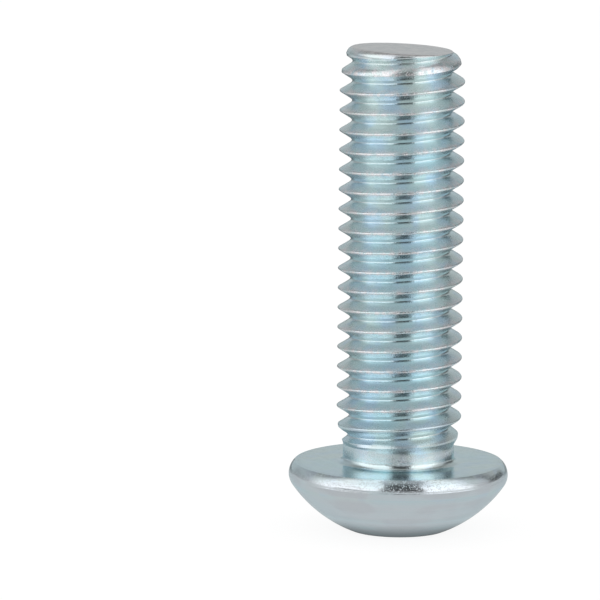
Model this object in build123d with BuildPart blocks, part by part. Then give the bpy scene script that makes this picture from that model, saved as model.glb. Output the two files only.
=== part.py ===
"""Button head screw with a hexagon socket: M8 coarse thread, zinc plated steel.

The screw is one cold-forged piece with a rolled thread, so it is one solid.

Frame: millimetres, +Z along the shank towards its end. The origin is the centre of
the bearing face under the head, so the shank is above z = 0 and the head below it.
The screw stands on the narrow flat land around the mouth of its socket.
"""

import os
from math import atan2, ceil, cos, degrees, radians, sqrt, tan

from build123d import *

# Thread: right-handed, with the sixty degree profile and narrow flats at crest and root.
major_diameter = 7.86
pitch = 1.25
flank_angle = 60.0
crest_width = 0.17
root_width = 0.20

# Shank: from the bearing face to the middle of the end face, which leans like a cropped end.
# Steps are measured inwards from the crests.
shank_length = 26.2
end_step = 0.455
end_taper_length = 1.9
end_rounding = 0.4
end_lean = 3.5
end_lean_azimuth = 35.0

# Neck under the head, and the stretch above it where the crest fades.
neck_step = 0.43
neck_length = 0.5
neck_fillet = 0.35
fading_crest_step = 0.23
fading_crest_rise = 0.35
crest_fade_length = 1.9

# Where the groove starts to climb out of the shank on its way down to the head.
run_out_height = 1.68
run_out_azimuth = 180.0

# Head: a spherical dome, a short straight side and a rounded rim.
head_diameter = 13.8
head_height = 4.3
rim_rounding_width = 0.35
rim_rounding_height = 0.66
rim_side_height = 0.45
rim_radius = 1.0

# Hexagon socket, punched from the top of the dome. Its countersink is a little wider than
# its corners, and the land on which the screw stands lies around that.
across_flats = 5.05
socket_depth = 2.7
countersink_margin = 0.085
land_width = 0.08
countersink_angle = 120.0
punch_slope = 25.0
punch_tip_diameter = 2.2
punch_tip_depth = 0.15

major_radius = major_diameter / 2
thread_depth = (pitch - crest_width - root_width) / 2 / tan(radians(flank_angle / 2))
root_radius = major_radius - thread_depth
neck_radius = major_radius - neck_step
fading_crest_radius = major_radius - fading_crest_step
end_radius = major_radius - end_step
cutter_radius = major_radius + crest_width / 2
end_taper = end_step / end_taper_length

head_radius = head_diameter / 2
bearing_radius = head_radius - rim_rounding_width
corner_radius = across_flats / 2 / cos(radians(30))
countersink_radius = corner_radius + countersink_margin
land_radius = countersink_radius + land_width
side_bottom = rim_rounding_height + rim_side_height

# The dome is centred on the axis and passes through the edge of the land and of the side.
dome_centre = (head_radius**2 - land_radius**2 + side_bottom**2 - head_height**2) / (
    2 * (head_height - side_bottom)
)
dome_radius = sqrt(land_radius**2 + (head_height + dome_centre) ** 2)


def groove_profile(plane):
    """The groove's section, with the middle of its root on the plane's X axis."""
    slope = tan(radians(flank_angle / 2))
    half_root = root_width / 2
    half_mouth = half_root + (cutter_radius - root_radius) * slope
    with BuildSketch(plane) as profile:
        with BuildLine():
            Polyline(
                (root_radius, half_root),
                (cutter_radius, half_mouth),
                (cutter_radius, -half_mouth),
                (root_radius, -half_root),
                close=True,
            )
        make_face()
    return profile.sketch.faces()


# Cutter for the groove at its full depth: one helix after another, a turn each.
with BuildPart() as full_groove:
    full_turns = ceil((shank_length - run_out_height) / pitch + 0.5)
    with BuildLine() as full_path:
        for turn in range(full_turns):
            Helix(pitch, pitch, root_radius, center=(0, 0, run_out_height + turn * pitch))
    with BuildLine(mode=Mode.PRIVATE) as full_axis:
        Line((0, 0, run_out_height), (0, 0, run_out_height + full_turns * pitch))
    start_plane = Plane((0, 0, run_out_height), x_dir=(1, 0, 0), z_dir=(0, -1, 0))
    sweep(groove_profile(start_plane), path=full_path.line, binormal=full_axis.line.edge())

# Cutter for the run-out: down towards the neck, on a cone that meets the fading crest.
with BuildPart() as run_out:
    run_out_end = neck_length + fading_crest_rise / 2
    run_out_length = run_out_height - run_out_end
    climb = (neck_radius + fading_crest_radius) / 2 - root_radius
    run_out_angle = degrees(atan2(climb, run_out_length))
    with BuildLine() as run_out_path:
        Helix(
            pitch / cos(radians(run_out_angle)),
            run_out_length,
            root_radius,
            center=(0, 0, run_out_height),
            direction=(0, 0, -1),
            cone_angle=run_out_angle,
        )
    with BuildLine(mode=Mode.PRIVATE) as run_out_axis:
        Line((0, 0, run_out_height), (0, 0, run_out_end))
    start_plane = Plane((0, 0, run_out_height), x_dir=(-1, 0, 0), z_dir=(0, -1, 0))
    sweep(groove_profile(start_plane), path=run_out_path.line, binormal=run_out_axis.line.edge())

# Cutter for the socket: a hexagon, closed by the punch's conical tip, and a countersink.
with BuildPart() as socket:
    socket_top = -head_height
    socket_floor = socket_top + socket_depth
    tip_radius = punch_tip_diameter / 2
    cone_rise = (corner_radius - tip_radius) * tan(radians(punch_slope))
    with BuildSketch(Plane.XY.offset(socket_top)):
        RegularPolygon(across_flats / 2, 6, major_radius=False)
    extrude(amount=socket_depth + cone_rise + punch_tip_depth)
    with BuildSketch(Plane.XZ) as punch_section:
        with BuildLine():
            Polyline(
                (0, socket_top),
                (corner_radius, socket_top),
                (corner_radius, socket_floor),
                (tip_radius, socket_floor + cone_rise),
                (0, socket_floor + cone_rise + punch_tip_depth),
                close=True,
            )
        make_face()
    revolve(axis=Axis.Z, mode=Mode.INTERSECT)
    countersink_slope = tan(radians(countersink_angle / 2))
    with BuildSketch(Plane.XZ) as countersink_section:
        with BuildLine():
            Polyline(
                (0, socket_top),
                (countersink_radius, socket_top),
                (0, socket_top + countersink_radius / countersink_slope),
                close=True,
            )
        make_face()
    revolve(axis=Axis.Z)

with BuildPart() as screw:
    # Head and shank as one turned outline.
    with BuildSketch(Plane.XZ) as section:
        with BuildLine():
            outline = Polyline(
                (0, -head_height),
                (0, shank_length + pitch),
                (end_radius - end_taper * pitch, shank_length + pitch),
                (major_radius, shank_length - end_taper_length),
                (major_radius, neck_length + fading_crest_rise + crest_fade_length),
                (fading_crest_radius, neck_length + fading_crest_rise),
                (neck_radius, neck_length),
                (neck_radius, 0),
                (bearing_radius, 0),
            )
            rim = TangentArc(
                (head_radius, -rim_rounding_height), outline @ 1, tangent=(0, 1)
            )
            side = Line(rim @ 0, (head_radius, -side_bottom))
            dome = RadiusArc(side @ 1, (land_radius, -head_height), dome_radius)
            Line(dome @ 1, outline @ 0)
        make_face()
        fillet(section.vertices().filter_by_position(Axis.Y, -side_bottom, -side_bottom), rim_radius)
    revolve(axis=Axis.Z)

    # The end face leans a little, and its edge is rounded.
    lean_plane = Plane.XY.offset(shank_length).rotated((0, end_lean, end_lean_azimuth))
    split(bisect_by=lean_plane, keep=Keep.BOTTOM)
    fillet(screw.faces().sort_by(Axis.Z)[-1].edges(), end_rounding)

    bearing_face = screw.faces().filter_by(Plane.XY).filter_by_position(Axis.Z, 0, 0)
    neck_edge = bearing_face.edges().sort_by(SortBy.RADIUS)[0]
    fillet(neck_edge, neck_fillet)

    add(socket.part, mode=Mode.SUBTRACT)
    add(full_groove.part, rotation=(0, 0, run_out_azimuth), mode=Mode.SUBTRACT)
    add(run_out.part, rotation=(0, 0, run_out_azimuth - 180), mode=Mode.SUBTRACT)

os.makedirs("parts", exist_ok=True)
screw.part.label = "screw"
export_step(screw.part, "parts/screw.step")
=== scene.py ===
"""Looks of a zinc plated button head screw that stands on its head.

The screw is one closed surface, worked out in rings around its axis from the same sizes
as the solid it stands for. Lengths are in millimetres until a mesh is made, which is in
metres, with +Z along the shank and the origin at the centre of the bearing face.
"""

from __future__ import annotations

import logging
import math
from dataclasses import dataclass, field
from enum import Enum

import bpy
import numpy as np
from mathutils import Matrix, Vector

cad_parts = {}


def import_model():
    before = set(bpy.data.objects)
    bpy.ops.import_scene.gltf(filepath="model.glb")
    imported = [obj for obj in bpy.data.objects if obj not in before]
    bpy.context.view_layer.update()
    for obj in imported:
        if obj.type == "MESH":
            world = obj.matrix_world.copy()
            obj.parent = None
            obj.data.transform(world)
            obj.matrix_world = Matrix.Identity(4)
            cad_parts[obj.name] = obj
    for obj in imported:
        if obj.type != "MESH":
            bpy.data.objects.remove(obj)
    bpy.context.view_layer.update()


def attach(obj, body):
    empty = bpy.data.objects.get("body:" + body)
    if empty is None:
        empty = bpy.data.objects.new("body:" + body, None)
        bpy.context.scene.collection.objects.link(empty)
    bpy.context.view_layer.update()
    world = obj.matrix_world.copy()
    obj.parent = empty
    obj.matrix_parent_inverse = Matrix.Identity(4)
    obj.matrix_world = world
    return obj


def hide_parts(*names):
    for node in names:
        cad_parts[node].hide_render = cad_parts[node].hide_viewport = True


LOG = logging.getLogger("screw")
MASK_NAMES = ("crest_wear", "scuff", "speckle", "end_face")
MILLIMETRE = 0.001

Span = tuple[float, float]
Colour = tuple[float, float, float]


class Facing(Enum):
    """Which way the fan that closes a ring looks."""

    UP = "up"
    DOWN = "down"


def grey(level: float) -> Colour:
    """The same level in all three channels of a colour."""
    return (level, level, level)


def share_within(depth: np.ndarray, span: Span) -> np.ndarray:
    """One at depths up to the start of a span, falling to zero at its end.

    Args:
        depth: Depths below a surface.
        span: The span's start and end.

    Returns:
        The share at each depth.
    """
    start, end = span
    return np.clip((end - depth) / (end - start), 0.0, 1.0)


def smooth_minimum(first: np.ndarray, second: np.ndarray, blend: float) -> np.ndarray:
    """The smaller of two values, rounded over where they cross.

    The formula is half of the sum less the root of the squared difference plus the
    squared blend length.

    Args:
        first: One set of values.
        second: The other set.
        blend: Length of the rounding.

    Returns:
        The rounded minimum.
    """
    return 0.5 * (first + second - np.sqrt((first - second) ** 2 + blend**2))


def smooth_ramp(value: np.ndarray, blend: float) -> np.ndarray:
    """Zero below zero and the value above it, with a rounded foot.

    Args:
        value: Distance past the foot of the ramp.
        blend: Length of the rounding.

    Returns:
        The rounded ramp.
    """
    return 0.5 * (value + np.sqrt(value**2 + blend**2))


@dataclass(frozen=True)
class ThreadForm:
    """The rolled thread as a radius over angle and height."""

    major_radius: float = 3.93
    pitch: float = 1.25
    crest_width: float = 0.09
    root_width: float = 0.20
    flank_slope: float = math.tan(math.radians(30))
    crest_height_at_back: float = 24.80
    crest_rounding: float = 0.06
    root_rounding: float = 0.17
    end_height: float = 26.2
    end_radius: float = 3.475
    end_taper_length: float = 1.9
    neck_radius: float = 3.5
    neck_length: float = 0.5
    neck_top: float = 1.2
    fading_radius: float = 3.7
    fading_rise: float = 0.3
    fade_length: float = 1.35
    run_out_height: float = 1.68
    run_out_end: float = 0.75

    @property
    def root_radius(self) -> float:
        """Radius at the bottom of the groove."""
        half = (self.pitch - self.crest_width - self.root_width) / 2
        return self.major_radius - half / self.flank_slope

    def envelope(self, height: np.ndarray) -> np.ndarray:
        """Radius over the crests: straight pieces from the neck to the tapered end.

        Args:
            height: Heights above the bearing face.

        Returns:
            The envelope's radius at each height.
        """
        fade_start = self.neck_top + self.fading_rise
        taper_start = self.end_height - self.end_taper_length
        slope = (self.major_radius - self.end_radius) / self.end_taper_length
        heights = [
            self.neck_top,
            fade_start,
            fade_start + self.fade_length,
            taper_start,
            self.end_height + 1.0,
        ]
        radii = [
            self.neck_radius,
            self.fading_radius,
            self.major_radius,
            self.major_radius,
            self.end_radius - slope,
        ]
        return np.interp(height, heights, radii)

    def radius(self, angle: np.ndarray, height: np.ndarray) -> np.ndarray:
        """Radius of the thread's surface.

        The groove's middle climbs one pitch a turn. Its floor is a flat with rounded
        corners, its flanks rise at sixty degrees to each other, and near the head its
        floor climbs out of the shank on a cone.

        Args:
            angle: Angles around the axis in radians, from +X towards +Y.
            height: Heights above the bearing face.

        Returns:
            The radius at each angle and height.
        """
        helix = self.crest_height_at_back + self.pitch * (angle / (2 * math.pi) - 0.5)
        from_root = height - helix - self.pitch / 2
        from_root = from_root - self.pitch * np.round(from_root / self.pitch)
        groove_height = height - from_root
        climb = (self.neck_radius + self.fading_radius) / 2 - self.root_radius
        rise = climb / (self.run_out_height - self.run_out_end)
        floor = self.root_radius + smooth_ramp(
            (self.run_out_height - groove_height) * rise, self.root_rounding
        )
        flank = (np.abs(from_root) - self.root_width / 2) / self.flank_slope
        groove = floor + smooth_ramp(flank, self.root_rounding)
        return smooth_minimum(self.envelope(height), groove, self.crest_rounding)


@dataclass(frozen=True)
class EndForm:
    """The cropped end face, which leans a little and has a rounded edge."""

    height: float = 26.2
    lean: float = math.radians(3.5)
    lean_azimuth: float = math.radians(35.0)
    mean_rounding: float = 0.30
    rounding_change: float = 0.14
    start_radius: float = 3.45

    def rounding(self, angle: np.ndarray) -> np.ndarray:
        """Size of the edge's rounding, which is largest at -X.

        Args:
            angle: Angles around the axis in radians.

        Returns:
            The rounding at each angle.
        """
        return self.mean_rounding - self.rounding_change * np.cos(angle)

    def plane(self, angle: np.ndarray, radius: np.ndarray) -> np.ndarray:
        """Height of the leaning end plane.

        Args:
            angle: Angles around the axis in radians.
            radius: Distances from the axis.

        Returns:
            The plane's height at each point.
        """
        return self.height - math.tan(self.lean) * radius * np.cos(angle - self.lean_azimuth)


@dataclass(frozen=True)
class HeadForm:
    """The button head with its hexagon socket, as radii and heights of rings."""

    neck_radius: float = 3.5
    neck_fillet: float = 0.38
    rim_centre: tuple[float, float] = (5.85, -0.80)
    rim_radius: float = 1.05
    rim_end: float = math.radians(-36.0)
    pitted_from: float = 0.4
    dome_radius: float = 8.17
    dome_centre: float = 3.27
    height: float = 4.3
    land_radius: float = 3.08
    across_flats: float = 5.05
    socket_depth: float = 2.7
    corner_relief: float = 0.03
    corner_blend: float = 0.05
    countersink_radius: float = 3.0
    countersink_half_angle: float = math.radians(60.0)
    punch_slope: float = math.radians(25.0)
    tip_radius: float = 1.1
    tip_depth: float = 0.15
    fillet_steps: int = 9
    face_steps: int = 16
    curve_steps: int = 26

    def outline(self) -> np.ndarray:
        """Outline from the neck down to the edge of the land, as radius and height.

        Quarter circle at the neck, straight bearing face, a circular rim that turns
        from the bearing face into the side, and the dome, which is a circle about a
        point on the axis. The small step between the rim's end and the dome's circle
        is spread evenly over the dome.

        Returns:
            Points of the outline, one a row.
        """
        quarter = np.linspace(0.0, math.pi / 2, self.fillet_steps)
        fillet = np.stack(
            [
                self.neck_radius + self.neck_fillet * (1 - np.cos(quarter)),
                self.neck_fillet * (1 - np.sin(quarter)),
            ],
            axis=1,
        )
        centre_radius, centre_height = self.rim_centre
        bearing_radius = centre_radius + math.sqrt(self.rim_radius**2 - centre_height**2)
        face_start = self.neck_radius + self.neck_fillet
        face_radii = np.linspace(face_start, bearing_radius, self.face_steps)[1:-1]
        face = np.stack([face_radii, np.zeros_like(face_radii)], axis=1)
        rim_start = math.asin(-centre_height / self.rim_radius)
        turn = np.linspace(rim_start, self.rim_end, self.curve_steps)
        rim = np.stack(
            [
                centre_radius + self.rim_radius * np.cos(turn),
                centre_height + self.rim_radius * np.sin(turn),
            ],
            axis=1,
        )
        land_angle = math.asin(self.land_radius / self.dome_radius)
        start_angle = math.asin(rim[-1, 0] / self.dome_radius)
        sweep = np.linspace(start_angle, land_angle, self.curve_steps)[1:]
        dome = np.stack(
            [
                self.dome_radius * np.sin(sweep),
                self.dome_centre - self.dome_radius * np.cos(sweep),
            ],
            axis=1,
        )
        start_height = self.dome_centre - self.dome_radius * math.cos(start_angle)
        step = rim[-1, 1] - start_height
        dome[:, 1] += step * np.linspace(1.0, 0.0, self.curve_steps)[1:]
        return np.concatenate([fillet, face, rim, dome])

    def socket_rings(self, angle: np.ndarray) -> list[np.ndarray]:
        """Rings of the socket, from the land inwards.

        The hexagon's radius is its half width over the cosine of the angle to the
        nearest flat, a little rounded in its corners.

        Args:
            angle: Angles around the axis in radians.

        Returns:
            Rings as arrays of radius and height, one row for each angle.
        """
        sector = math.pi / 3
        to_flat = angle - sector * np.round(angle / sector)
        half = self.across_flats / 2
        hexagon = half / np.cos(to_flat)
        corner = half / math.cos(sector / 2)
        relief = np.full_like(hexagon, corner - self.corner_relief)
        hexagon = smooth_minimum(hexagon, relief, self.corner_blend)
        top = -self.height
        floor = top + self.socket_depth

        def cone(radius: np.ndarray) -> np.ndarray:
            """Height of the countersink's cone at a radius."""
            rise = (self.countersink_radius - radius) / math.tan(self.countersink_half_angle)
            return top + rise

        def punch(radius: np.ndarray) -> np.ndarray:
            """Height of the punched bottom's cone at a radius."""
            return floor + (corner - radius) * math.tan(self.punch_slope)

        countersink_shares = (0.5, 1.0)
        wall_shares = (0.04, 0.35, 0.7, 0.96, 1.0)
        bottom_shares = (0.04, 0.3, 0.6, 0.9, 1.0)
        tip_shares = (0.15, 0.45, 0.8)
        flat = np.full_like(angle, self.countersink_radius)
        rings = [np.stack([flat, np.full_like(angle, top)], axis=1)]
        for share in countersink_shares:
            radius = flat * (1 - share) + hexagon * share
            rings.append(np.stack([radius, cone(radius)], axis=1))
        wall_top = cone(hexagon)
        wall_bottom = punch(hexagon)
        for share in wall_shares:
            height = wall_top * (1 - share) + wall_bottom * share
            rings.append(np.stack([hexagon, height], axis=1))
        for share in bottom_shares:
            radius = hexagon * (1 - share) + self.tip_radius * share
            rings.append(np.stack([radius, punch(radius)], axis=1))
        tip = punch(np.full_like(angle, self.tip_radius))
        for share in tip_shares:
            radius = np.full_like(angle, self.tip_radius * (1 - share))
            rise = self.tip_depth * math.sin(share * math.pi / 2)
            rings.append(np.stack([radius, tip + rise], axis=1))
        return rings


@dataclass
class SurfaceData:
    """Vertices, triangles and masks of a closed surface while it is put together."""

    points: list[np.ndarray] = field(default_factory=list)
    wear: list[np.ndarray] = field(default_factory=list)
    scuff: list[np.ndarray] = field(default_factory=list)
    speckle: list[np.ndarray] = field(default_factory=list)
    end_mask: list[np.ndarray] = field(default_factory=list)
    faces: list[np.ndarray] = field(default_factory=list)
    count: int = 0

    def add_points(
        self,
        angle: np.ndarray,
        radius: np.ndarray,
        height: np.ndarray,
        wear: float | np.ndarray = 0.0,
        scuff: float | np.ndarray = 0.0,
        speckle: float | np.ndarray = 0.0,
        end: float = 0.0,
    ) -> np.ndarray:
        """Adds points given in cylinder coordinates.

        Args:
            angle: Angles in radians.
            radius: Distances from the axis.
            height: Heights above the bearing face.
            wear: Value of the mask for crests rubbed bare.
            scuff: Value of the mask for a rougher surface.
            speckle: Value of the mask for a smooth surface with pits.
            end: Value of the end face mask.

        Returns:
            The new points' indices.
        """
        coordinates = np.stack([radius * np.cos(angle), radius * np.sin(angle), height], axis=-1)
        flat = coordinates.reshape(-1, 3)
        indices = np.arange(self.count, self.count + len(flat)).reshape(angle.shape)
        self.points.append(flat)
        for mask, value in (
            (self.wear, wear),
            (self.scuff, scuff),
            (self.speckle, speckle),
            (self.end_mask, end),
        ):
            mask.append(np.broadcast_to(value, angle.shape).reshape(-1).astype(float))
        self.count += len(flat)
        return indices

    def join_rings(self, lower: np.ndarray, upper: np.ndarray) -> None:
        """Joins two closed rings of equal length by triangles.

        Args:
            lower: Indices of one ring.
            upper: Indices of the next.
        """
        lower_next = np.roll(lower, -1)
        upper_next = np.roll(upper, -1)
        self.faces.append(np.stack([lower, lower_next, upper_next], axis=1))
        self.faces.append(np.stack([lower, upper_next, upper], axis=1))

    def close_ring(self, ring: np.ndarray, height: float, end: float, facing: Facing) -> None:
        """Closes a ring with a point on the axis.

        Args:
            ring: Indices of the ring.
            height: Height of the point.
            end: Value of the end face mask there.
            facing: Which way the closed face looks.
        """
        zero = np.zeros(1)
        tip = self.add_points(zero, zero, np.full(1, height), end=end)[0]
        following = np.roll(ring, -1)
        tips = np.full_like(ring, tip)
        order = [ring, following, tips] if facing is Facing.UP else [following, ring, tips]
        self.faces.append(np.stack(order, axis=1))


@dataclass
class ButtonHeadScrew:
    """The screw: its shape as one mesh, with the masks that its finish reads.

    The spans are depths below the envelope of the crests.
    """

    thread: ThreadForm = field(default_factory=ThreadForm)
    end: EndForm = field(default_factory=EndForm)
    head: HeadForm = field(default_factory=HeadForm)
    columns: int = 216
    edge_steps: int = 13
    sharp_angle: float = math.radians(38.0)
    crest_span: Span = (0.01, 0.05)
    wear_span: Span = (0.15, 0.50)
    flank_span: Span = (0.50, 0.60)
    wear_near_crest: float = 0.8
    wear_on_neck: float = 0.35
    wear_on_edge: float = 0.35
    worn_neck_length: float = 1.0
    scuff_at_root: float = 0.25
    scuff_on_flank: float = 0.7
    scuff_on_neck: float = 0.7
    scuff_on_edge: float = 0.35
    node_name: str = "screw"

    def row_phases(self) -> np.ndarray:
        """Heights of the grid rows over one pitch, from the middle of a crest.

        Returns:
            Heights from zero to just under one pitch, closer at crest and root.
        """
        half = np.array([0.0, 0.03, 0.065, 0.11, 0.30, 0.455, 0.52, 0.575])
        root = self.thread.pitch / 2
        return np.concatenate([half, [root], self.thread.pitch - half[:0:-1]])

    def add_thread(self, data: SurfaceData, angle: np.ndarray) -> tuple[np.ndarray, np.ndarray]:
        """Adds the threaded surface on a grid whose rows follow the helix.

        Row j starts at its own height and climbs a pitch in one turn, so its last
        column joins the row a pitch higher. Rows are held between the neck and the
        rounding of the end, and points held there are shared with the rings beside.
        Wear is strongest on the crests, and the flanks are rougher than the root.

        Args:
            data: The surface to add to.
            angle: Angles of the columns.

        Returns:
            Indices of the lowest and the highest ring.
        """
        thread = self.thread
        phases = self.row_phases()
        rows_per_turn = len(phases)
        base = thread.crest_height_at_back - thread.pitch / 2
        first_turn = math.floor((thread.neck_length - base) / thread.pitch) - 1
        last_turn = math.ceil((thread.end_height + 1.0 - base) / thread.pitch) + 1
        turns = np.arange(first_turn, last_turn + 1)
        row_heights = (base + turns[:, None] * thread.pitch + phases[None, :]).reshape(-1)
        climb = thread.pitch * angle / (2 * math.pi)
        height = row_heights[:, None] + climb[None, :]

        bottom = np.full_like(angle, thread.neck_length)
        top = self.end.plane(angle, np.full_like(angle, self.end.start_radius))
        top = top - self.end.rounding(angle)
        low_ring = data.add_points(angle, thread.radius(angle, bottom), bottom)
        high_ring = data.add_points(angle, thread.radius(angle, top), top)

        margin = 0.004
        below = height <= bottom[None, :] + margin
        above = height >= top[None, :] - margin
        inside = ~(below | above)
        columns = np.broadcast_to(np.arange(len(angle))[None, :], height.shape)
        index = np.where(below, low_ring[columns], high_ring[columns])
        used_angle = np.broadcast_to(angle[None, :], height.shape)[inside]
        used_height = height[inside]
        radius = thread.radius(used_angle, used_height)
        below_crest = thread.envelope(used_height) - radius
        on_crest = share_within(below_crest, self.crest_span)
        near_crest = share_within(below_crest, self.wear_span)
        on_flank = share_within(below_crest, self.flank_span)
        full_height = thread.neck_top + thread.fading_rise + thread.fade_length
        full_crest = np.clip(used_height - full_height, 0.0, 1.0)
        worn_neck_top = thread.neck_length + self.worn_neck_length
        on_neck = np.clip(worn_neck_top - used_height, 0.0, 1.0)
        crest_wear = np.maximum(on_crest, self.wear_near_crest * near_crest) * full_crest
        index[inside] = data.add_points(
            used_angle,
            radius,
            used_height,
            wear=np.maximum(crest_wear, self.wear_on_neck * on_neck),
            scuff=np.maximum(
                self.scuff_at_root + self.scuff_on_flank * on_flank,
                self.scuff_on_neck * on_neck,
            ),
            speckle=on_crest * full_crest,
        )

        here = index[:-1]
        over = index[1:]
        following = np.roll(here, -1, axis=1)
        over_following = np.roll(over, -1, axis=1)
        rows = len(here)
        wrapped = np.minimum(np.arange(rows) + rows_per_turn, rows)
        following[:, -1] = index[wrapped, 0]
        over_following[:, -1] = index[np.minimum(wrapped + 1, rows), 0]
        lower = np.stack([here, following, over_following], axis=-1).reshape(-1, 3)
        upper = np.stack([here, over_following, over], axis=-1).reshape(-1, 3)
        triangles = np.concatenate([lower, upper])
        whole = (
            (triangles[:, 0] != triangles[:, 1])
            & (triangles[:, 1] != triangles[:, 2])
            & (triangles[:, 2] != triangles[:, 0])
        )
        data.faces.append(triangles[whole])
        return low_ring, high_ring

    def add_end(self, data: SurfaceData, angle: np.ndarray, ring: np.ndarray) -> None:
        """Adds the rounded edge and the leaning face of the end.

        Below the plane by a depth d, the edge's radius is the taper's less the rounding
        plus the root of the squared rounding less the squared rest of the depth. The
        groove still cuts into it where it is deeper.

        Args:
            data: The surface to add to.
            angle: Angles of the columns.
            ring: Indices of the ring to start from.
        """
        rounding = self.end.rounding(angle)
        last = ring
        edge_radius = np.full_like(angle, self.end.start_radius)
        settling_rounds = 3
        face_shares = (0.93, 0.8, 0.62, 0.42, 0.22, 0.08)
        for turn in np.linspace(0.0, math.pi / 2, self.edge_steps)[1:]:
            depth = rounding * (1 - math.sin(turn))
            inset = rounding * (1 - math.cos(turn))
            for _ in range(settling_rounds):
                height = self.end.plane(angle, edge_radius) - depth
                taper = self.thread.envelope(height) - inset
                edge_radius = smooth_minimum(
                    taper, self.thread.radius(angle, height), self.thread.crest_rounding
                )
            following = data.add_points(
                angle,
                edge_radius,
                height,
                wear=self.wear_on_edge,
                scuff=self.scuff_on_edge,
                end=math.sin(turn) ** 2,
            )
            data.join_rings(last, following)
            last = following
        for share in face_shares:
            radius = edge_radius * share
            following = data.add_points(angle, radius, self.end.plane(angle, radius), end=1.0)
            data.join_rings(last, following)
            last = following
        data.close_ring(last, self.end.height, end=1.0, facing=Facing.UP)

    def add_head(self, data: SurfaceData, angle: np.ndarray, ring: np.ndarray) -> None:
        """Adds the neck, the head and the socket, ring by ring downwards.

        Args:
            data: The surface to add to.
            angle: Angles of the columns.
            ring: Indices of the ring to start from.
        """
        last = ring
        apex_rise = 0.005
        centre_radius, centre_height = self.head.rim_centre
        for radius, height in self.head.outline():
            on_rim = radius > centre_radius + self.head.pitted_from and height > centre_height
            following = data.add_points(
                angle,
                np.full_like(angle, radius),
                np.full_like(angle, height),
                speckle=1.0 if on_rim else 0.0,
            )
            data.join_rings(following, last)
            last = following
        for rim in self.head.socket_rings(angle):
            following = data.add_points(angle, rim[:, 0], rim[:, 1])
            data.join_rings(following, last)
            last = following
        tip = float(data.points[-1][0, 2]) + apex_rise
        data.close_ring(last, tip, end=0.0, facing=Facing.DOWN)

    def build(self) -> bpy.types.Object:
        """Builds the mesh and puts it in the scene.

        Returns:
            The new object.
        """
        data = SurfaceData()
        angle = np.linspace(0.0, 2 * math.pi, self.columns, endpoint=False)
        low_ring, high_ring = self.add_thread(data, angle)
        self.add_end(data, angle, high_ring)
        self.add_head(data, angle, low_ring)
        points = np.concatenate(data.points) * MILLIMETRE
        faces = np.concatenate(data.faces)
        mesh = bpy.data.meshes.new("screw_surface")
        mesh.from_pydata(points.tolist(), [], faces.tolist())
        masks = (data.wear, data.scuff, data.speckle, data.end_mask)
        for name, values in zip(MASK_NAMES, masks, strict=True):
            layer = mesh.attributes.new(name, "FLOAT", "POINT")
            layer.data.foreach_set("value", np.concatenate(values))
        mesh.polygons.foreach_set("use_smooth", np.ones(len(faces), dtype=bool))
        mesh.validate()
        mesh.update()
        mesh.set_sharp_from_angle(angle=self.sharp_angle)
        screw = bpy.data.objects.new("screw_plated", mesh)
        bpy.context.collection.objects.link(screw)
        corners = points[faces]
        crossed = np.cross(corners[:, 1], corners[:, 2])
        volume = np.einsum("ij,ij->i", corners[:, 0], crossed).sum() / 6
        LOG.info("screw surface: %d triangles, %.1f mm3", len(faces), volume / MILLIMETRE**3)
        return screw


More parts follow.
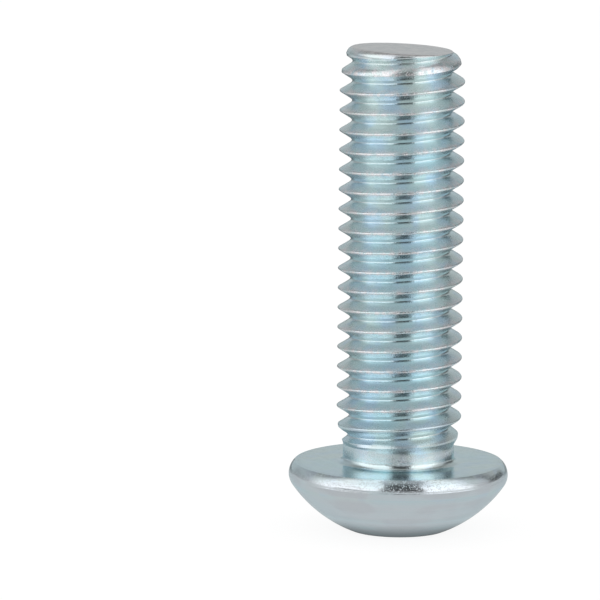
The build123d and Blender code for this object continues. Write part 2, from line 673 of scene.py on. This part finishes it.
@dataclass
class NodeDesk:
    """Adds and links nodes in one tree."""

    tree: bpy.types.NodeTree

    def add(self, kind: str, **settings: object) -> bpy.types.Node:
        """Adds a node and sets its properties.

        Args:
            kind: The node's type name.
            **settings: Properties to set on it.

        Returns:
            The new node.
        """
        node = self.tree.nodes.new(kind)
        for name, value in settings.items():
            setattr(node, name, value)
        return node

    def link(self, source: bpy.types.NodeSocket, target: bpy.types.NodeSocket) -> None:
        """Links an output to an input."""
        self.tree.links.new(source, target)

    def math(
        self, operation: str, first: object, second: object = None
    ) -> bpy.types.NodeSocket:
        """Adds a Math node on two values or sockets.

        Args:
            operation: The node's operation.
            first: A socket or a number.
            second: A socket, a number or nothing.

        Returns:
            The node's output.
        """
        node = self.add("ShaderNodeMath", operation=operation)
        for slot, value in enumerate((first, second)):
            if isinstance(value, bpy.types.NodeSocket):
                self.link(value, node.inputs[slot])
            elif value is not None:
                node.inputs[slot].default_value = value
        return node.outputs[0]

    def axis_distance(self, parts: bpy.types.Node) -> bpy.types.NodeSocket:
        """Distance from the upright axis: the root of the two squared coordinates' sum.

        Args:
            parts: The node that separates the coordinates.

        Returns:
            The distance.
        """
        squares = [self.math("MULTIPLY", part, part) for part in parts.outputs[:2]]
        return self.math("SQRT", self.math("ADD", *squares))

    def noise(
        self, vector: bpy.types.NodeSocket, scale: float, detail: float, roughness: float = 0.5
    ) -> bpy.types.NodeSocket:
        """Adds a noise texture.

        Args:
            vector: Coordinates to read.
            scale: Repeats per metre.
            detail: Number of octaves.
            roughness: Weight of the finer octaves.

        Returns:
            The noise value.
        """
        node = self.add("ShaderNodeTexNoise")
        node.inputs["Scale"].default_value = scale
        node.inputs["Detail"].default_value = detail
        node.inputs["Roughness"].default_value = roughness
        self.link(vector, node.inputs["Vector"])
        return node.outputs[0]

    def remap(
        self,
        value: bpy.types.NodeSocket,
        low: float,
        high: float,
        to_low: float = 0.0,
        to_high: float = 1.0,
    ) -> bpy.types.NodeSocket:
        """Maps a range of a value to another with smooth ends.

        Args:
            value: The value to map.
            low: Lower end of its range.
            high: Upper end of its range.
            to_low: Result at the lower end.
            to_high: Result at the upper end.

        Returns:
            The mapped value.
        """
        node = self.add("ShaderNodeMapRange", interpolation_type="SMOOTHSTEP")
        self.link(value, node.inputs["Value"])
        node.inputs["From Min"].default_value = low
        node.inputs["From Max"].default_value = high
        node.inputs["To Min"].default_value = to_low
        node.inputs["To Max"].default_value = to_high
        return node.outputs["Result"]

    def mix_colour(self, factor: object, first: object, second: object) -> bpy.types.NodeSocket:
        """Mixes two colours.

        Args:
            factor: A socket or a number.
            first: Colour at zero, a socket or three numbers.
            second: Colour at one, a socket or three numbers.

        Returns:
            The mixed colour.
        """
        node = self.add("ShaderNodeMix", data_type="RGBA")
        for slot, value in ((0, factor), (6, first), (7, second)):
            if isinstance(value, bpy.types.NodeSocket):
                self.link(value, node.inputs[slot])
            elif slot == 0:
                node.inputs[slot].default_value = value
            else:
                node.inputs[slot].default_value = (*value, 1.0)
        return node.outputs[2]


def plating_tint_group() -> bpy.types.NodeTree:
    """Node group for the faint colour drift of a passivated zinc coat.

    Broad patches turn from pale blue to green, and smaller ones are a deeper blue.

    Returns:
        A group that takes coordinates and gives a colour.
    """
    group = bpy.data.node_groups.new("plating_tint", "ShaderNodeTree")
    group.interface.new_socket("Vector", in_out="INPUT", socket_type="NodeSocketVector")
    group.interface.new_socket("Tint", in_out="OUTPUT", socket_type="NodeSocketColor")
    desk = NodeDesk(group)
    inlet = desk.add("NodeGroupInput")
    outlet = desk.add("NodeGroupOutput")
    pale_blue, pale_green, blue = (0.63, 0.80, 0.85), (0.70, 0.80, 0.79), (0.62, 0.765, 0.88)
    broad = desk.remap(desk.noise(inlet.outputs[0], 210.0, 3.0, 0.55), 0.35, 0.65)
    small = desk.remap(desk.noise(inlet.outputs[0], 650.0, 2.0), 0.48, 0.64, 0.0, 0.75)
    drift = desk.mix_colour(broad, pale_blue, pale_green)
    desk.link(desk.mix_colour(small, drift, blue), outlet.inputs[0])
    return group


def plating_grain_group() -> bpy.types.NodeTree:
    """Node group for the fine grain of the coat and its sparse pits.

    Returns:
        A group that takes coordinates and gives the grain's height and the pits.
    """
    group = bpy.data.node_groups.new("plating_grain", "ShaderNodeTree")
    group.interface.new_socket("Vector", in_out="INPUT", socket_type="NodeSocketVector")
    group.interface.new_socket("Height", in_out="OUTPUT", socket_type="NodeSocketFloat")
    group.interface.new_socket("Pits", in_out="OUTPUT", socket_type="NodeSocketFloat")
    desk = NodeDesk(group)
    inlet = desk.add("NodeGroupInput")
    outlet = desk.add("NodeGroupOutput")
    grain = desk.noise(inlet.outputs[0], 11000.0, 2.0, 0.6)
    swell = desk.noise(inlet.outputs[0], 1500.0, 2.0)
    swell_share = 1.5
    height = desk.math("ADD", grain, desk.math("MULTIPLY", swell, swell_share))
    desk.link(height, outlet.inputs[0])
    dots = desk.noise(inlet.outputs[0], 12000.0, 1.0)
    desk.link(desk.remap(dots, 0.58, 0.68), outlet.inputs[1])
    return group


@dataclass(frozen=True)
class ZincPlate:
    """Bright zinc plating, rougher and greyer on the cropped end.

    Noise scales are repeats per metre, and depths are in metres.
    """

    roughness: float = 0.13
    end_roughness: float = 0.36
    scuff_roughness: float = 0.14
    crest_colour: Colour = (0.84, 0.83, 0.85)
    band_colour: Colour = (0.71, 0.775, 0.82)
    mottle_colour: Colour = (0.665, 0.705, 0.745)
    end_colour: Colour = (0.97, 0.93, 0.92)
    end_dark_colour: Colour = (0.78, 0.745, 0.75)
    grazing_tint: Colour = (0.84, 0.93, 0.95)
    head_heights: Span = (-0.6 * MILLIMETRE, 0.2 * MILLIMETRE)
    band_share_on_shank: float = 0.15
    mottle_share: float = 0.7
    band_scale: float = 1500.0
    mottle_scales: tuple[float, float] = (900.0, 330.0)
    wear_scale: float = 2600.0
    scuff_scale: float = 1800.0
    ring_scale: float = 3500.0
    grain_depth: float = 8.0e-6
    ring_depth: float = 1.0e-6
    calm_share: float = 0.65
    pit_height: float = 1.2

    def material(self, tint: bpy.types.NodeTree, grain: bpy.types.NodeTree) -> bpy.types.Material:
        """Makes the material.

        The head's colour drifts in rings around the axis. Crests are rubbed pale in
        patches, and the end face is cut metal.

        Args:
            tint: Group for the colour drift.
            grain: Group for the grain.

        Returns:
            The finished material.
        """
        material = bpy.data.materials.new("zinc_plate")
        material.use_nodes = True
        desk = NodeDesk(material.node_tree)
        shader = desk.tree.nodes["Principled BSDF"]
        place = desk.add("ShaderNodeTexCoord").outputs["Object"]
        wear, scuffed, speckle, end = (
            desk.add("ShaderNodeAttribute", attribute_name=name).outputs["Fac"]
            for name in MASK_NAMES
        )

        parts = desk.add("ShaderNodeSeparateXYZ")
        desk.link(place, parts.inputs[0])
        combine = desk.add("ShaderNodeCombineXYZ")
        desk.link(desk.axis_distance(parts), combine.inputs[0])
        desk.link(parts.outputs[2], combine.inputs[1])
        ring_place = combine.outputs[0]

        tint_node = desk.add("ShaderNodeGroup", node_tree=tint)
        desk.link(place, tint_node.inputs[0])
        on_head = desk.remap(
            parts.outputs[2], *self.head_heights, 1.0, self.band_share_on_shank
        )
        band_noise = desk.noise(ring_place, self.band_scale, 3.0, 0.6)
        bands = desk.math("MULTIPLY", desk.remap(band_noise, 0.38, 0.62, 0.1, 0.9), on_head)
        banded = desk.mix_colour(bands, tint_node.outputs[0], self.band_colour)
        ring_scale, patch_scale = self.mottle_scales
        drift = desk.math(
            "ADD",
            desk.noise(ring_place, ring_scale, 3.0, 0.6),
            desk.noise(place, patch_scale, 2.0),
        )
        mottle = desk.math(
            "MULTIPLY", desk.remap(drift, 0.88, 1.12, 0.0, self.mottle_share), on_head
        )
        mottled = desk.mix_colour(mottle, banded, self.mottle_colour)
        patch = desk.remap(desk.noise(place, self.wear_scale, 2.0), 0.40, 0.60)
        worn = desk.mix_colour(desk.math("MULTIPLY", wear, patch), mottled, self.crest_colour)
        scuff = desk.noise(place, self.scuff_scale, 4.0, 0.65)
        cropped = desk.mix_colour(
            desk.remap(scuff, 0.35, 0.65), self.end_dark_colour, self.end_colour
        )
        colour = desk.mix_colour(end, worn, cropped)
        desk.link(colour, shader.inputs["Base Color"])

        low, high = self.roughness - 0.05, self.roughness + 0.08
        plain = desk.remap(scuff, 0.3, 0.75, low, high)
        low, high = self.end_roughness - 0.08, self.end_roughness + 0.1
        rough_end = desk.remap(scuff, 0.3, 0.75, low, high)
        difference = desk.math("MULTIPLY", desk.math("SUBTRACT", rough_end, plain), end)
        worn_part = desk.math("MULTIPLY", scuffed, self.scuff_roughness)
        rough = desk.math("ADD", desk.math("ADD", plain, difference), worn_part)
        desk.link(rough, shader.inputs["Roughness"])
        shader.inputs["Metallic"].default_value = 1.0
        shader.inputs["Specular Tint"].default_value = (*self.grazing_tint, 1.0)

        grain_node = desk.add("ShaderNodeGroup", node_tree=grain)
        desk.link(place, grain_node.inputs[0])
        first = desk.add("ShaderNodeBump")
        first.inputs["Distance"].default_value = self.grain_depth
        calm = desk.math("SUBTRACT", 1.0, desk.math("MULTIPLY", speckle, self.calm_share))
        smoother = desk.math("MULTIPLY", grain_node.outputs[0], calm)
        dots = desk.math("MULTIPLY", grain_node.outputs[1], speckle)
        pits = desk.math("MULTIPLY", dots, self.pit_height)
        desk.link(desk.math("SUBTRACT", smoother, pits), first.inputs["Height"])
        rings = desk.noise(ring_place, self.ring_scale, 3.0)
        second = desk.add("ShaderNodeBump")
        second.inputs["Distance"].default_value = self.ring_depth
        desk.link(rings, second.inputs["Height"])
        desk.link(first.outputs[0], second.inputs["Normal"])
        desk.link(second.outputs[0], shader.inputs["Normal"])
        return material


@dataclass(frozen=True)
class TentPanel:
    """A vertical stretch of the tent's wall, with a level of its own and soft sides.

    Azimuths are in degrees from the front, positive towards +X.
    """

    azimuth: float
    half_width: float
    softness: float
    level: float


@dataclass(frozen=True)
class Studio:
    """White floor and a pale tent around it, with gaps that metal shows as dark bands.

    Sides, depths and heights are parts of the direction that a reflection looks in, or
    on the floor of the direction from the axis. Depth grows away from the camera.
    """

    floor_height: float = -4.3 * MILLIMETRE
    floor_size: float = 30.0
    wall_level: float = 0.60
    panels: tuple[TentPanel, ...] = (
        TentPanel(azimuth=-132.0, half_width=18.0, softness=16.0, level=0.40),
        TentPanel(azimuth=129.0, half_width=18.0, softness=14.0, level=0.12),
        TentPanel(azimuth=-52.0, half_width=44.0, softness=30.0, level=1.28),
        TentPanel(azimuth=44.0, half_width=34.0, softness=26.0, level=1.42),
    )
    ambient_level: float = 0.85
    behind_depths: Span = (-0.15, 0.2)
    upper_back_level: float = 0.48
    upper_back_heights: Span = (0.2, 0.36)
    upper_back_depths: Span = (0.3, 0.7)
    low_front_level: float = 1.45
    low_front_heights: Span = (0.12, 0.32)
    low_front_depths: Span = (-0.3, 0.1)
    front_ceiling_level: float = 1.10
    back_ceiling_level: float = 0.32
    ceiling_heights: Span = (0.4, 0.8)
    seam_level: float = 0.20
    seam_heights: Span = (0.04, 0.15)
    seam_sides: Span = (-0.25, 0.0)
    seam_depths: Span = (-0.5, -0.1)
    gap_middle: float = 0.06
    gap_half_width: float = 0.27
    gap_half_width_low: float = 0.40
    gap_width_heights: Span = (0.10, 0.75)
    gap_share_overhead: float = 0.35
    gap_overhead_depths: Span = (-0.3, 0.0)
    gap_reach_depths: Span = (0.5, 0.85)
    gap_softness: float = 0.05
    gap_level: float = 0.08
    gap_low_level: float = 0.28
    gap_low_heights: Span = (0.16, 0.24)
    gap_steep_level: float = 0.34
    gap_steep_heights: Span = (0.72, 0.94)
    gap_overhead_level: float = 0.28
    floor_colour: Colour = (0.86, 0.87, 0.88)
    # Levels of the floor's glow in reflections: near the screw a painted shadow, far behind and
    # in a stretch in front painted shade.
    floor_shadow_level: float = 0.14
    floor_glow: float = 0.9
    floor_painted_shadow_level: float = 0.20
    floor_near_level: float = 0.64
    floor_front_level: float = 0.36
    floor_side_level: float = 0.0
    floor_side_depths: Span = (-0.35, 0.15)
    floor_back_painted_shade_level: float = -0.42
    floor_back_depths: Span = (0.70, 0.95)
    floor_painted_shade_level: float = 0.70
    floor_gap_middle: float = -0.06
    floor_gap_half_width: float = 0.60
    floor_gap_softness: float = 0.25
    painted_shadow_radii: Span = (2.9 * MILLIMETRE, 4.8 * MILLIMETRE)
    bright_radii: Span = (18.0 * MILLIMETRE, 60.0 * MILLIMETRE)

    def tent_level(self, desk: NodeDesk) -> bpy.types.NodeSocket:
        """Level of the tent in the direction that a reflection looks.

        The wall's level is replaced panel by panel where the azimuth lies within the
        panel's half width, with a smooth step of its softness at each side. A dark gap
        runs from the front over the top, where the direction's side part is small.

        Args:
            desk: Node desk of the world's tree.

        Returns:
            The level as a grey colour.
        """
        direction = desk.add("ShaderNodeTexCoord").outputs["Generated"]
        parts = desk.add("ShaderNodeSeparateXYZ")
        desk.link(direction, parts.inputs[0])
        side, depth, height = parts.outputs
        turn = desk.math("ARCTAN2", side, desk.math("MULTIPLY", depth, -1.0))
        azimuth = desk.math("MULTIPLY", turn, 180.0 / math.pi)
        level = grey(self.wall_level)
        for panel in self.panels:
            away = desk.math("ABSOLUTE", desk.math("SUBTRACT", azimuth, panel.azimuth))
            outer = panel.half_width + panel.softness / 2
            inside = desk.remap(away, outer - panel.softness, outer, 1.0, 0.0)
            level = desk.mix_colour(inside, level, grey(panel.level))

        behind = desk.remap(depth, *self.behind_depths)
        ceiling = desk.mix_colour(
            behind, grey(self.front_ceiling_level), grey(self.back_ceiling_level)
        )
        upper_back = desk.math(
            "MULTIPLY",
            desk.remap(height, *self.upper_back_heights),
            desk.remap(depth, *self.upper_back_depths),
        )
        level = desk.mix_colour(upper_back, level, grey(self.upper_back_level))
        level = desk.mix_colour(desk.remap(height, *self.ceiling_heights), level, ceiling)

        low_left = desk.math(
            "MULTIPLY",
            desk.remap(height, *self.seam_heights, 1.0, 0.0),
            desk.remap(side, *self.seam_sides, 1.0, 0.0),
        )
        seam = desk.math(
            "MULTIPLY", low_left, desk.remap(depth, *self.seam_depths, 1.0, 0.0)
        )
        level = desk.mix_colour(seam, level, grey(self.seam_level))
        low_front = desk.math(
            "MULTIPLY",
            desk.remap(height, *self.low_front_heights, 1.0, 0.0),
            desk.remap(depth, *self.low_front_depths, 1.0, 0.0),
        )
        clear = desk.math("MULTIPLY", low_front, desk.math("SUBTRACT", 1.0, seam))
        level = desk.mix_colour(clear, level, grey(self.low_front_level))

        half_width = desk.math(
            "MULTIPLY",
            desk.remap(
                height, *self.gap_width_heights, self.gap_half_width_low, self.gap_half_width
            ),
            desk.remap(depth, *self.gap_overhead_depths, 1.0, self.gap_share_overhead),
        )
        in_gap = self.within(desk, side, self.gap_middle, half_width, self.gap_softness)
        gap = desk.mix_colour(
            desk.remap(height, *self.gap_low_heights),
            grey(self.gap_low_level),
            grey(self.gap_level),
        )
        steep = desk.remap(height, *self.gap_steep_heights)
        gap = desk.mix_colour(steep, gap, grey(self.gap_steep_level))
        gap = desk.mix_colour(behind, gap, grey(self.gap_overhead_level))
        reach = desk.remap(depth, *self.gap_reach_depths, 1.0, 0.0)
        return desk.mix_colour(desk.math("MULTIPLY", in_gap, reach), level, gap)

    @staticmethod
    def within(
        desk: NodeDesk,
        value: bpy.types.NodeSocket,
        middle: float,
        half_width: object,
        softness: float,
    ) -> bpy.types.NodeSocket:
        """One within a half width of the middle, with a smooth step at each side.

        Args:
            desk: Node desk to add to.
            value: The value to test.
            middle: Middle of the stretch.
            half_width: A socket or a number.
            softness: Half length of the step.

        Returns:
            The share that is within.
        """
        from_middle = desk.math("ABSOLUTE", desk.math("SUBTRACT", value, middle))
        beyond = desk.math("SUBTRACT", from_middle, half_width)
        return desk.remap(beyond, -softness, softness, 1.0, 0.0)

    def build_world(self) -> None:
        """Makes the world: white to the camera, a tent of uneven level to reflections."""
        world = bpy.data.worlds.new("studio_tent")
        bpy.context.scene.world = world
        world.use_nodes = True
        desk = NodeDesk(world.node_tree)
        background = desk.tree.nodes["Background"]
        path = desk.add("ShaderNodeLightPath")
        level = self.tent_level(desk)
        glossy = desk.mix_colour(path.outputs["Is Glossy Ray"], grey(self.ambient_level), level)
        seen = desk.math(
            "MAXIMUM", path.outputs["Is Camera Ray"], path.outputs["Is Transmission Ray"]
        )
        colour = desk.mix_colour(seen, glossy, grey(1.0))
        desk.link(colour, background.inputs["Color"])

    def floor_level(self, desk: NodeDesk) -> bpy.types.NodeSocket:
        """Level of the floor's glow in reflections, with a painted shadow near the screw and
        bright far away.

        Painted shade makes it darker straight in front, where the camera stands over it, and far
        behind.

        Args:
            desk: Node desk of the floor's material.

        Returns:
            The level.
        """
        place = desk.add("ShaderNodeTexCoord").outputs["Object"]
        parts = desk.add("ShaderNodeSeparateXYZ")
        desk.link(place, parts.inputs[0])
        distance = desk.axis_distance(parts)
        side = desk.math("DIVIDE", parts.outputs[0], distance)
        depth = desk.math("DIVIDE", parts.outputs[1], distance)
        # Painted shadow: the floor's glow in reflections is dimmed close to the screw's axis.
        near = desk.remap(
            distance, *self.painted_shadow_radii, self.floor_painted_shadow_level, self.floor_near_level
        )
        # Far away the glow is brighter in front and, as painted shade, lower far behind.
        far = desk.math(
            "ADD",
            desk.remap(
                depth, *self.floor_side_depths, self.floor_front_level, self.floor_side_level
            ),
            desk.remap(depth, *self.floor_back_depths, 0.0, self.floor_back_painted_shade_level),
        )
        extra = desk.math("MULTIPLY", desk.remap(distance, *self.bright_radii), far)
        level = desk.math("ADD", near, extra)
        # Painted shade: a narrow stretch straight in front, where the camera stands, is dimmed.
        in_gap = self.within(
            desk, side, self.floor_gap_middle, self.floor_gap_half_width, self.floor_gap_softness
        )
        inner, outer = self.bright_radii
        in_front = desk.remap(parts.outputs[1], -outer, -inner, 1.0, 0.0)
        loss = desk.math("MULTIPLY", in_gap, in_front)
        loss = desk.math("MULTIPLY", loss, 1.0 - self.floor_painted_shade_level)
        return desk.math("MULTIPLY", level, desk.math("SUBTRACT", 1.0, loss))

    def build_floor(self) -> bpy.types.Object:
        """Makes the white floor, which keeps a faint shadow.

        Returns:
            The floor.
        """
        half = self.floor_size / 2
        mesh = bpy.data.meshes.new("floor_surface")
        corners = [(-half, -half), (half, -half), (half, half), (-half, half)]
        mesh.from_pydata([(x, y, self.floor_height) for x, y in corners], [], [(0, 1, 2, 3)])
        floor = bpy.data.objects.new("floor", mesh)
        bpy.context.collection.objects.link(floor)
        material = bpy.data.materials.new("floor_white")
        material.use_nodes = True
        desk = NodeDesk(material.node_tree)
        desk.tree.nodes.remove(desk.tree.nodes["Principled BSDF"])
        output = desk.tree.nodes["Material Output"]
        path = desk.add("ShaderNodeLightPath")
        seen = path.outputs["Is Camera Ray"]
        reflected = path.outputs["Is Glossy Ray"]
        matte = desk.add("ShaderNodeBsdfDiffuse")
        pale = desk.mix_colour(seen, self.floor_colour, grey(self.floor_shadow_level))
        desk.link(desk.mix_colour(reflected, pale, grey(0.0)), matte.inputs["Color"])
        glow = desk.add("ShaderNodeEmission")
        camera_part = desk.math("MULTIPLY", seen, self.floor_glow)
        # The floor glows in reflections only, at the level above, with its painted shadow and
        # painted shade.
        glossy_part = desk.math("MULTIPLY", reflected, self.floor_level(desk))
        desk.link(desk.math("ADD", camera_part, glossy_part), glow.inputs["Strength"])
        both = desk.add("ShaderNodeAddShader")
        desk.link(matte.outputs[0], both.inputs[0])
        desk.link(glow.outputs[0], both.inputs[1])
        desk.link(both.outputs[0], output.inputs["Surface"])
        mesh.materials.append(material)
        return floor


@dataclass(frozen=True)
class Lens:
    """The viewpoint: lengths in millimetres, but for the clipping distance in metres."""

    distance: float = 534.0
    elevation: float = math.radians(9.8)
    roll: float = math.radians(0.51)
    aim_left: float = 6.28
    aim_up: float = 10.07
    focal_length: float = 508.8
    sensor_width: float = 36.0
    clip_start: float = 0.01

    def build(self) -> bpy.types.Object:
        """Makes the camera.

        Returns:
            The camera object.
        """
        lens = bpy.data.cameras.new("view")
        lens.lens = self.focal_length
        lens.sensor_width = self.sensor_width
        lens.clip_start = self.clip_start
        camera = bpy.data.objects.new("view", lens)
        bpy.context.collection.objects.link(camera)
        forward = Vector((0.0, math.cos(self.elevation), -math.sin(self.elevation)))
        upward = Vector((0.0, math.sin(self.elevation), math.cos(self.elevation)))
        aim = Vector((-self.aim_left, 0.0, 0.0)) + upward * self.aim_up
        place = (aim - forward * self.distance) * MILLIMETRE
        turn = forward.to_track_quat("-Z", "Y").to_matrix().to_4x4()
        roll = Matrix.Rotation(self.roll, 4, "Z")
        camera.matrix_world = Matrix.Translation(place) @ turn @ roll
        bpy.context.scene.camera = camera
        return camera


def main() -> None:
    """Builds the screw around the frame and stages it."""
    logging.basicConfig(level=logging.INFO, format="%(name)s: %(message)s")
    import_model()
    bpy.context.scene.view_settings.view_transform = "Standard"

    builder = ButtonHeadScrew()
    screw = builder.build()
    plating = ZincPlate().material(plating_tint_group(), plating_grain_group())
    screw.data.materials.append(plating)
    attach(screw, "root")
    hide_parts(builder.node_name)
    LOG.info("screw: built")

    studio = Studio()
    studio.build_world()
    studio.build_floor()
    Lens().build()
    LOG.info("studio: built")


if __name__ == "__main__":
    main()
